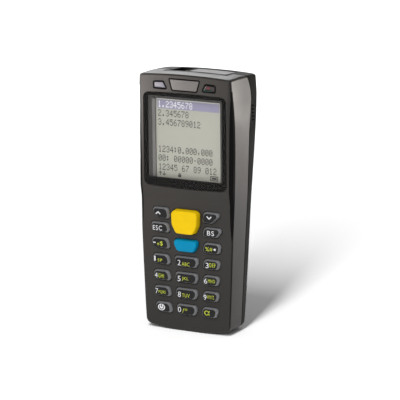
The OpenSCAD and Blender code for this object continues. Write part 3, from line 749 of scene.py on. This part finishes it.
# shelf that carries the scan window, kept off the seal and the front half
shelf = block("shelf", (-17.2, -3.2, 118.4), (18.0, 13.6, 124), body=None)
near = body_form("near", WALL + 0.1)
boolean(bs, [skin4], "INTERSECT")
boolean(near, [bs], "UNION")
boolean(shelf, [near], "INTERSECT")
boolean(rear, [shelf], "UNION")
drop(shelf, near, bs, tg, skin4)
cut = [block("c", (-13.9, -1.4, 12.9), (13.9, 20, 63.1), body=None),
       door_block("c", 15.7, -3, 72.1, -6, 1.4, body=None),
       door_block("c", 16.2, -3, 72.1, 0.65, 1.4, body=None),
       block("c", (-13.8, -1.6, 120.4), (-5.2, 11.6, 130), body=None),
       block("c", (-4.5, -1.0, 122.0), (15.8, 11.4, 130), body=None),
       block("c", (-3.4, 0.8, 110), (12.6, 9.4, 123), body=None),
       xprism("c", GRILLE, 22, 30, body=None)]
for x, z in SCREWS:
    cut.append(ybar("c", x, z, -5, 20, 1.1, body=None))
    zb = yback(z)
    hy = head_y(z)
    c32 = [(1.65 * math.cos(2 * math.pi * i / 32), 1.65 * math.sin(2 * math.pi * i / 32)) for i in range(32)]
    c33 = [(p[0] * 1.15, p[1] * 1.15) for p in c32]
    v, f = rings([[(x + p[0], hy, z + p[1]) for p in c32], [(x + p[0], zb - 0.25, z + p[1]) for p in c32],
                  [(x + p[0], zb, z + p[1]) for p in c33], [(x + p[0], 22, z + p[1]) for p in c33]])
    cut.append(make("c", v, f, body=None))
for x in (-7.5, -2.5, 2.5, 7.5):
    cut.append(block("c", (x - 1.3, 1.5, -1), (x + 1.3, 4.3, 0.9), body=None))
for c in cut:
    boolean(rear, [c])
drop(*cut)
settle(rear, "case_back", "case", ["back_case"])

# scan window pane, a little under the crown of the top, and a near-black sheet in the well beside it: painted shade of
# the recess
skin25, skin5 = body_form("skin25", 0.25), body_form("skin5", 0.5)
pane = block("scan_window_pane", (-4.4, -0.9, 122.04), (15.7, 11.3, 126), body=None)
boolean(pane, [skin25], "INTERSECT")
settle(pane, "scan_red", "case", ["scan_window"], 30)
well_shade_sheet = block("scan_well_lining", (-13.78, -1.58, 120.42), (-5.22, 11.58, 126), body=None)
boolean(well_shade_sheet, [skin5], "INTERSECT")
hollow = block("hollow", (-13.6, -1.4, 120.6), (-5.4, 11.4, 130), body=None)
boolean(well_shade_sheet, [hollow])
drop(hollow, skin25, skin5)
settle(well_shade_sheet, "recess_painted_shade", "case", [], 30)

# ---------------------------------------------------------------- battery door
door = door_block("battery_door_skin", 15.6, -2, 72, -4, 1.3, body=None)
lip = door_block("lip", 16.1, 2.4, 70, 0.75, 1.3, body=None)
boolean(door, [lip], "UNION")
boolean(door, [outer], "INTERSECT")
drop(lip)
for i, z in enumerate((58, 60.2, 62.4, 64.6, 66.8)):
    P = rounded([(-6.2, z, 0.45), (6.2, z, 0.45), (6.2, z + 1, 0.45), (-6.2, z + 1, 0.45)], 5)
    rib = slab("rib", [(p[0], p[1]) for p in P], [(yback(z) - 0.6, 0), (yback(z + 0.6) + 0.12, 0), (yback(z + 0.6) + 0.26, 0.22)], body=None)
    boolean(door, [rib], "UNION")
    drop(rib)
settle(door, "case_door", "battery_door", ["battery_door"])

# ---------------------------------------------------------------- side insert with the sound slots
skin1 = body_form("skin1", 0.1)
gr = xprism("side_grille_insert", [(7.5 + 0.19 + 0.1, 112.1), (4.6 + 0.19 + 0.02, 97.0), (10.32, 98.46), (11.8, 109.72)], 23.35, 30, body=None)
boolean(gr, [skin1], "INTERSECT")
slots = []
for z in (101.5, 103.1, 104.8, 106.5, 108.2):
    P = rounded([(7.7, z - 0.45, 0.4), (9.9, z - 0.45, 0.4), (9.9, z + 0.45, 0.4), (7.7, z + 0.45, 0.4)], 5)
    slots.append(xprism("s", P, 20, 30, body=None))
slots = join("slots", slots)
boolean(gr, [slots])
drop(slots, skin1)
settle(gr, "case_back", "case", ["side_grille"])
drop(outer, inner)


# ---------------------------------------------------------------- keys
def glyph(text, name, x0, x1, z, h, y, mat, body, bold=0.0):
    """a short legend from Blender's own font, as a thin mesh facing -Y that fills x0 to x1 and the height h"""
    cu = bpy.data.curves.new(name, "FONT")
    cu.body = text
    cu.size = h * S * 1.4
    cu.space_character = 1.12
    cu.extrude = 0.00001
    cu.offset = bold
    cu.resolution_u = 3
    ob = bpy.data.objects.new(name + "_c", cu)
    bpy.context.scene.collection.objects.link(ob)
    dg = bpy.context.evaluated_depsgraph_get()
    me = bpy.data.meshes.new_from_object(ob.evaluated_get(dg))
    bpy.data.objects.remove(ob)
    bpy.data.curves.remove(cu)
    xs, zs = [v.co.x for v in me.vertices], [v.co.y for v in me.vertices]
    kx, kz = (x1 - x0) * S / (max(xs) - min(xs)), h * S / (max(zs) - min(zs))
    for v in me.vertices:
        v.co = ((v.co.x - min(xs)) * kx + x0 * S, y * S - v.co.z, (v.co.y - (max(zs) + min(zs)) / 2) * kz + z * S)
    o = bpy.data.objects.new(name, me)
    bpy.context.scene.collection.objects.link(o)
    paint(o, mat)
    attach(o, body)
    return o


def cap(node, P, rise, lean, mat, slot, bevel=0.75, flat=None):
    """flat gives the inset of the top at the sides and at top and bottom, if they differ"""
    body = node + "_cap"
    R = rounded(P, 10)
    T = shrunk(R, *flat) if flat else inset(R, 0.02 + lean + bevel)
    B = inset(R, 0.02 + lean)
    yt = Y_KEYS - rise
    # flange, wall that leans in, then a rounded shoulder
    L = [(Y_KEYS + 2.45, -0.3), (Y_KEYS + 1.8, -0.3), (Y_KEYS + 1.8, 0.0), (Y_KEYS + 0.1, 0.0), (Y_KEYS - 0.05, 0.02)]
    yw, iw = (Y_KEYS - 0.2 if flat else yt + bevel * 0.85), lean
    for t in (0.5, 1.0):
        L.append((Y_KEYS + (yw - Y_KEYS) * t, 0.02 + iw * t))
    levels = []
    for y, d in L:
        levels.append([(p[0], y, p[1]) for p in (inset(R, d) if d else R)])
    for i in range(1, 7):
        an = math.radians(90 * i / 6)
        k = (1 - math.cos(an)) if not flat else (i / 6) ** 1.35
        if flat:
            an = math.asin(min(1, i / 6 * 1.02))
        levels.append([(b[0] + (t[0] - b[0]) * k, yw - (yw - yt) * math.sin(an), b[1] + (t[1] - b[1]) * k) for b, t in zip(B, T)])
    v, f = rings(levels, cap=True)
    o = make(node + "_cap_skin", v, f, mat=mat, body=body, slot=slot)
    sharpen(o, 50)
    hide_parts(node)
    return T, yt


# legends: text, left, right, middle height, height, ink
LEGENDS = {
    "key_esc": [("ESC", -17.35, -12.4, 49.7, 2.3, 0)],
    "key_bs": [("BS", 11.7, 15.4, 49.9, 2.3, 0)],
    "key_minus": [("-", -17.3, -16.0, 42.4, 0.5, 0), ("+", -15.3, -13.9, 41.8, 1.4, 1), ("$", -13.7, -12.1, 42.1, 2.35, 1)],
    "key_percent": [("%", 10.7, 12.7, 42.1, 2.0, 1), ("#", 12.9, 14.5, 42.1, 1.8, 1), (".", 15.1, 16.3, 42.2, 1.1, 0)],
    "key_1": [("1", -16.85, -16.1, 34.6, 2.4, 0), ("SP", -15.0, -12.5, 34.0, 1.5, 1)],
    "key_2": [("2", -4.2, -2.6, 33.9, 2.6, 0), ("ABC", -2.0, 2.1, 33.5, 1.8, 1)],
    "key_3": [("3", 10.8, 12.4, 34.15, 2.5, 0), ("DEF", 12.8, 16.1, 34.5, 1.9, 1)],
    "key_4": [("4", -16.65, -15.1, 26.5, 2.4, 0), ("GHI", -14.7, -11.7, 26.4, 2.0, 1)],
    "key_5": [("5", -4.3, -2.7, 26.1, 2.6, 0), ("JKL", -2.0, 1.5, 26.2, 1.9, 1)],
    "key_6": [("6", 9.9, 11.6, 26.5, 2.5, 0), ("MNO", 12.0, 15.7, 26.7, 1.7, 1)],
    "key_7": [("7", -16.3, -14.95, 18.65, 2.4, 0), ("PQRS", -14.7, -10.9, 18.3, 1.7, 1)],
    "key_8": [("8", -4.2, -2.6, 18.4, 2.6, 0), ("TUV", -2.0, 2.1, 18.1, 1.8, 1)],
    "key_9": [("9", 9.6, 11.15, 18.5, 2.5, 0), ("WXYZ", 11.4, 15.1, 18.8, 1.7, 1)],
    "key_0": [("0", -4.3, -2.6, 10.9, 2.6, 0), ("/*", -1.9, 0.8, 10.7, 2.3, 1)],
    "key_alpha": [("\u03b1", 9.9, 12.8, 10.9, 2.3, 1)],
}
for node, P in KEYS.items():
    body = node + "_cap"
    if node == "key_scan":
        cap(node, P, 3.2, 0.25, "key_yellow", "key_yellow", bevel=0.95)
        continue
    if node == "key_enter":
        cap(node, P, 2.2, 0.2, "key_blue", "key_blue", bevel=0.8)
        continue
    R, yt = cap(node, P, 1.5, 0.0, "key_grey", "key_grey", flat=(1.05, 0.65))
    # printed top: a thin black film that wraps a little over the shoulder
    film = slab(node + "_print", shrunk(R, -0.08, -0.08), [(yt + 0.05, 0.0), (yt - 0.012, 0.02), (yt - 0.03, 0.18)], mat="key_black", body=body)
    sharpen(film, 50)
    for i, (txt, x0, x1, z, h, ink) in enumerate(LEGENDS.get(node, [])):
        glyph(txt, "%s_legend_%d" % (node, i), x0, x1, z, h, yt - 0.045, ("ink_white", "ink_lime")[ink], body)


def stroke(name, pts, w, y, mat, body, closed=False):
    """a flat line of width w through points in x and z"""
    n = len(pts)
    Lf, Rt = [], []
    for i in range(n):
        p = Vector(pts[i])
        d1 = (p - Vector(pts[i - 1])).normalized() if (closed or i > 0) else None
        d2 = (Vector(pts[(i + 1) % n]) - p).normalized() if (closed or i < n - 1) else None
        d1, d2 = d1 or d2, d2 or d1
        n1, n2 = Vector((-d1.y, d1.x)), Vector((-d2.y, d2.x))
        b_ = n1 + n2
        b_ = b_ / max(0.4, b_.length_squared / 2)
        Lf.append(p + b_ * w / 2)
        Rt.append(p - b_ * w / 2)
    v = [(p.x, y, p.y) for p in Lf] + [(p.x, y, p.y) for p in Rt] + \
        [(p.x, y + 0.03, p.y) for p in Lf] + [(p.x, y + 0.03, p.y) for p in Rt]
    f = []
    for i in range(n if closed else n - 1):
        j = (i + 1) % n
        f += [(i, j, n + j, n + i), (2 * n + i, 3 * n + i, 3 * n + j, 2 * n + j), (i, 2 * n + i, 2 * n + j, j), (n + i, n + j, 3 * n + j, 3 * n + i)]
    if not closed:
        f += [(0, n, 3 * n, 2 * n), (n - 1, 3 * n - 1, 4 * n - 1, 2 * n - 1)]
    return make(name, v, f, mat=mat, body=body)


yt = Y_KEYS - 1.5
stroke("key_up_arrow", [(-15.65, 56.45), (-14.45, 57.5), (-13.25, 56.45)], 0.5, yt - 0.06, "ink_white", "key_up_cap")
stroke("key_down_arrow", [(11.6, 57.9), (12.8, 56.7), (14.0, 57.9)], 0.5, yt - 0.06, "ink_white", "key_down_cap")
# power symbol: a pale disc with a dark broken ring and bar
cx, cz = -13.2, 10.9
disc = [(cx + 1.9 * math.cos(t * math.pi / 16), cz + 1.6 * math.sin(t * math.pi / 16)) for t in range(32)]
slab("key_power_disc", disc, [(yt - 0.02, 0), (yt - 0.05, 0)], mat="ink_white", body="key_power_cap")
ring_ = [(cx + 1.1 * math.sin(t), cz + 1.0 * math.cos(t)) for t in [math.radians(40 + 280 * i / 20) for i in range(21)]]
stroke("key_power_ring", ring_, 0.42, yt - 0.085, "key_black", "key_power_cap")
stroke("key_power_bar", [(cx, cz + 0.15), (cx, cz + 1.35)], 0.42, yt - 0.085, "key_black", "key_power_cap")

# ---------------------------------------------------------------- display
lo = lens_outline(0.08)
sheet_front = slab("display_lens_sheet", lo, [(Y_FACE + 0.05 + 0.95, 0), (Y_FACE + 0.17, 0), (Y_FACE + 0.08, 0.04), (Y_FACE + 0.05, 0.14)], mat="lens", slot="lens")
sharpen(sheet_front, 40)
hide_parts("display_lens")
# black print behind the sheet, with a window in it
WX, W0, W1 = 19.45, 74.1, 113.3
win = rounded([(-WX - 0.75, W0, 1.3), (WX, W0, 1.3), (WX, W1, 1.3), (-WX - 0.75, W1, 1.3)], 10)
pr = slab("display_print", inset(lo, 0.05), [(Y_FACE + 0.40, 0), (Y_FACE + 0.90, 0)], body=None)
wc = slab("wc", win, [(-14, 0), (-8, 0)], body=None)
boolean(pr, [wc])
drop(wc)
settle(pr, "lens_print", "case")

# bezel: a deep funnel from the window in the print down to the cell
BX, B0, B1 = 17.3, 73.6, 111.6
a1 = rounded([(-20.4, 71.6, 1.5), (20.4, 71.6, 1.5), (20.4, 114.0, 1.5), (-20.4, 114.0, 1.5)], 10)
a2 = rounded([(-19.62, 72.8, 1.35), (19.62, 72.8, 1.35), (19.62, 113.0, 1.35), (-19.62, 113.0, 1.35)], 10)
a3 = rounded([(-BX, B0, 0.5), (BX, B0, 0.5), (BX, B1, 0.5), (-BX, B1, 0.5)], 10)
L = [[(p[0], Y_FACE + 1.74, p[1]) for p in a1], [(p[0], Y_FACE + 1.74, p[1]) for p in a2],
     [(p[0], -9.55, p[1]) for p in a3], [(p[0], -8.5, p[1]) for p in a3], [(p[0], -8.5, p[1]) for p in a1]]
m = len(a1)
v = [p for ring in L for p in ring]
f = []
for i in range(5):
    for j in range(m):
        k = (j + 1) % m
        i2 = (i + 1) % 5
        f.append((i * m + j, i * m + k, i2 * m + k, i2 * m + j))
bz = make("lcd_bezel_funnel", v, f, mat="bezel_grey", slot="bezel_grey")
sharpen(bz)
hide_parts("lcd_bezel")

# pale strip over the lower part of the funnel's left wall: painted highlight
v, f = rings([[(x, y, z) for x, y in ((-18.45, -10.135), (-17.26, -9.565), (-17.26, -8.52), (-17.31, -8.52), (-17.31, -9.54), (-18.45, -10.085))] for z in (74.0, 111.2)])
make("bezel_flank", v, f, mat="bezel_painted_highlight")

# dot-matrix image: 5 by 7 dots a sign, one small square a dot
DOTS = {
    "0": "01110 10001 10011 10101 11001 10001 01110", "1": "00100 01100 00100 00100 00100 00100 01110",
    "2": "01110 10001 00001 00110 01000 10000 11111", "3": "01110 10001 00001 00110 00001 10001 01110",
    "4": "00010 00110 01010 10010 11111 00010 00010", "5": "11111 10000 11110 00001 00001 10001 01110",
    "6": "00110 01000 10000 11110 10001 10001 01110", "7": "11111 00001 00010 00100 01000 01000 01000",
    "8": "01110 10001 10001 01110 10001 10001 01110", "9": "01110 10001 10001 01111 00001 00010 01100",
    ".": "00000 00000 00000 00000 00000 01100 01100", ",": "00000 00000 00000 00000 01100 00100 01000",
    ":": "00000 01100 01100 00000 01100 01100 00000", "-": "00000 00000 00000 01110 00000 00000 00000",
    "^": "00100 01110 11111 00100 00100 00100 00100", "v": "00100 00100 00100 00100 11111 01110 00100",
    "#": "00000 01110 01010 11111 11111 11111 11111", " ": "00000 00000 00000 00000 00000 00000 00000"}
LX, LZ = 16.2, 110.45          # left edge (mirrored) and top of the ink
PX, PZ = 2.08, 4.32            # pitch of the signs and of the lines
Y_CELL = -8.45


def dots(name, text, x, z, mat, y, wx=0.335, wz=0.44):
    v, f = [], []
    for i, ch in enumerate(text):
        rows = DOTS[ch].split()
        for rr, row in enumerate(rows):
            for cc, bit in enumerate(row):
                if bit == "1":
                    x0, z0 = x + i * PX + cc * wx, z - rr * wz
                    n0 = len(v)
                    v += [(x0, y, z0), (x0 + wx * 0.96, y, z0), (x0 + wx * 0.96, y, z0 - wz * 0.97), (x0, y, z0 - wz * 0.97),
                          (x0, y + 0.02, z0), (x0 + wx * 0.96, y + 0.02, z0), (x0 + wx * 0.96, y + 0.02, z0 - wz * 0.97), (x0, y + 0.02, z0 - wz * 0.97)]
                    f += [tuple(n0 + q for q in t) for t in ((0, 1, 2, 3), (7, 6, 5, 4), (0, 4, 5, 1), (1, 5, 6, 2), (2, 6, 7, 3), (3, 7, 4, 0))]
    return make(name, v, f, mat=mat)


bar_y = Y_CELL - 0.03
slab("lcd_bar_line", [(-16.5, 110.75), (16.3, 110.75), (16.3, 106.75), (-16.5, 106.75)],
     [(Y_CELL - 0.01, 0), (bar_y, 0)], mat="lcd_bar")
dots("lcd_line_0", "1.2345678", -LX, LZ - 0.1, "lcd_pale", bar_y - 0.03)
for i, txt in ((1, "2.345678"), (2, "3.456789012"), (5, "1234:0.000,000"), (6, "00: 00000-0000"), (7, "12345 67 89 012")):
    dots("lcd_line_%d" % i, txt, -LX, LZ - 0.1 - i * PZ, "lcd_ink", Y_CELL - 0.03)
zi = 75.6
dots("lcd_signs", "^v   #", -LX, zi + 0.9, "lcd_ink", Y_CELL - 0.03, wz=0.31)
# pale line along the top and right edges of the cell: painted highlight
stroke("lcd_cell_rim", [(-16.9, 111.25), (16.95, 111.25), (16.95, 74.2)], 0.3, Y_CELL - 0.04, "lcd_pale", "case")
bx = 13.4
stroke("lcd_cell_sign", [(bx - 1.9, zi + 0.6), (bx + 1.9, zi + 0.6), (bx + 1.9, zi - 1.3), (bx - 1.9, zi - 1.3)], 0.38, Y_CELL - 0.05, "lcd_ink", "case", closed=True)
slab("lcd_cell_level", [(bx - 1.3, zi + 0.1), (bx + 1.3, zi + 0.1), (bx + 1.3, zi - 0.8), (bx - 1.3, zi - 0.8)], [(Y_CELL - 0.01, 0), (Y_CELL - 0.04, 0)], mat="lcd_ink")

# ---------------------------------------------------------------- lamps and badge
for nm, P, mat in (("status_lens_left", rounded(lamp_corners(0.1), 6), "lamp_clear"),
                   ("status_lens_right", rounded(flip(lamp_corners(0.1)), 6), "lamp_smoke")):
    # near-black ring around each lamp lens: painted shade of the gap round the lens
    hoop(nm + "_gasket", P, inset(P, 0.5), Y_FACE + 1.0, Y_FACE + 0.12, mat="recess_painted_shade")
    o = slab(nm + "_cap", inset(P, 0.52), [(Y_FACE + 1.0, 0), (Y_FACE + 0.22, 0.0), (Y_FACE + 0.14, 0.05), (Y_FACE + 0.09, 0.16), (Y_FACE + 0.07, 0.34)], mat=mat,
             slot="lamp_clear" if mat == "lamp_clear" else "lamp_smoke")
    sharpen(o, 60)
    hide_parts(nm)
ybar("status_red_spot", 12.6, 118.9, Y_FACE + 0.05, Y_FACE + 0.3, 0.72, mat="lamp_red")
slab("status_green_tint", rounded([(9.9, 117.3, 0.3), (14.6, 117.3, 0.3), (14.6, 117.9, 0.2), (9.9, 117.9, 0.2)], 4),
     [(Y_FACE + 0.07, 0), (Y_FACE + 0.3, 0)], mat="lamp_green")
# near-black ring around the badge: painted shade of the gap round the plate
hoop("badge_rim", badge_outline(0.1), inset(badge_outline(0.1), 0.42), Y_FACE + 0.55, Y_FACE + 0.14, mat="recess_painted_shade")
b = slab("badge_plate_face", inset(badge_outline(0.1), 0.44), [(Y_FACE + 0.55, 0), (Y_FACE + 0.22, 0), (Y_FACE + 0.13, 0.04), (Y_FACE + 0.10, 0.14)], mat="badge", slot="badge")
sharpen(b, 40)
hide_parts("badge_plate")

# ---------------------------------------------------------------- CAD nodes that stay, with rounded edges and their materials
KEEP = {
    "case_seal": ("seal", 0), "battery_pack": ("battery_wrap", 0.8), "battery_contacts": ("contact_metal", 0.08),
    "lcd_glass": ("lcd_glass", 0.1), "lcd_frame": ("sheet_steel", 0.1), "backlight": ("light_guide", 0.1), "lcd_flex": ("flex_film", 0),
    "main_board": ("board_green", 0.1), "board_components": ("chip_black", 0.15), "backup_cell": ("cell_steel", 0.2),
    "dome_switches": ("dome_steel", 0.1), "key_membrane": ("silicone_grey", 0.1), "status_leds": ("led_resin", 0.1),
    "scan_engine": ("engine_black", 0.2), "scan_bracket": ("sheet_steel", 0.15),
    "buzzer": ("chip_black", 0.2), "cradle_contacts": ("contact_metal", 0.15), "case_screws": ("screw_black", 0.15),
    "board_screws": ("screw_steel", 0.12)}
for n, (mat, bev) in KEEP.items():
    o = N[n]
    o.data.materials.clear()
    o.data.materials.append(M[mat])
    if bev:
        md = o.modifiers.new("edges", "BEVEL")
        md.width = bev * S
        md.segments = 3
        md.limit_method = "ANGLE"
        md.angle_limit = math.radians(40)

# ---------------------------------------------------------------- floor and light
bpy.ops.mesh.primitive_plane_add(size=12, location=(0, 0, 0))
floor = bpy.context.object
floor.name = "floor"
fm, fnt, fb = principled("floor", (0.96, 0.96, 0.96), 0.85)
grain(fm, fnt, fb, 900, 0.05)
floor.data.materials.append(fm)


def area(name, loc, target, size, power, color=(1, 1, 1), size_y=None):
    d = bpy.data.lights.new(name, "AREA")
    d.energy = power
    d.color = color
    d.shape = "RECTANGLE"
    d.size, d.size_y = size, size_y or size
    o = bpy.data.objects.new(name, d)
    bpy.context.scene.collection.objects.link(o)
    o.location = loc
    o.rotation_mode = "QUATERNION"
    o.rotation_quaternion = (Vector(target) - Vector(loc)).to_track_quat("-Z", "Y")
    o.visible_camera = False
    return o


def aim(az, el, dist, at=(0, 0, 0.06)):
    """a place at this azimuth from -Y towards +X and this elevation, seen from the object"""
    a_, e_ = math.radians(az), math.radians(el)
    return tuple(c + dist * k for c, k in zip(at, (math.sin(a_) * math.cos(e_), -math.cos(a_) * math.cos(e_), math.sin(e_))))


area("key_light", aim(10, 46, 3.0), (0, 0, 0.02), 0.44, 66.0, size_y=2.7)
rim = area("back_light", aim(222, 24, 2.6), (0, 0, 0.1), 1.6, 22.0, size_y=0.9)
side = area("side_light", aim(141, -2.3, 0.38, (0.025, 0, 0.10)), (0.025, 0, 0.100), 0.14, 0.86, color=(1, 0.937, 0.886))
left = area("left_light", (-0.085, -0.085, 0.105), (-0.022, -0.012, 0.121), 0.05, 0.12, color=(1, 0.91, 0.866))
step = area("step_light", (-0.050, -0.105, 0.008), (0, -0.012, 0.067), 0.05, 0.010, color=(1, 0.95, 0.90))
sweep = area("floor_light", aim(10, 46, 3.0), (0, 0, 0.02), 0.44, 50.0, size_y=2.7)
far = area("far_light", (-0.5, 1.05, 2.2), (-0.5, 0.98, 0), 1.0, 4.0)
far.data.spread = math.radians(32)
world = bpy.data.worlds.new("world")
bpy.context.scene.world = world
world.use_nodes = True
bg = world.node_tree.nodes["Background"]
bg.inputs["Color"].default_value = (1, 1, 1, 1)
bg.inputs["Strength"].default_value = 0.30

# four lights are for the object only, and two lights are for the floor only
only, ground, face, flank = (bpy.data.collections.new(n) for n in ("object_lit", "floor_lit", "face_lit", "flank_lit"))
for o in bpy.data.objects:
    if o.type == "MESH" and o != floor:
        only.objects.link(o)
        if o.name not in ("case_back_shell", "side_grille_insert", "battery_door_skin"):
            flank.objects.link(o)
ground.objects.link(floor)
for o in bpy.data.objects:
    if o.name in ("case_front_shell", "badge_plate_face", "status_lens_left_cap", "status_lens_right_cap"):
        face.objects.link(o)
rim.light_linking.receiver_collection = only
side.light_linking.receiver_collection = flank
left.light_linking.receiver_collection = step.light_linking.receiver_collection = face
sweep.light_linking.receiver_collection = far.light_linking.receiver_collection = ground
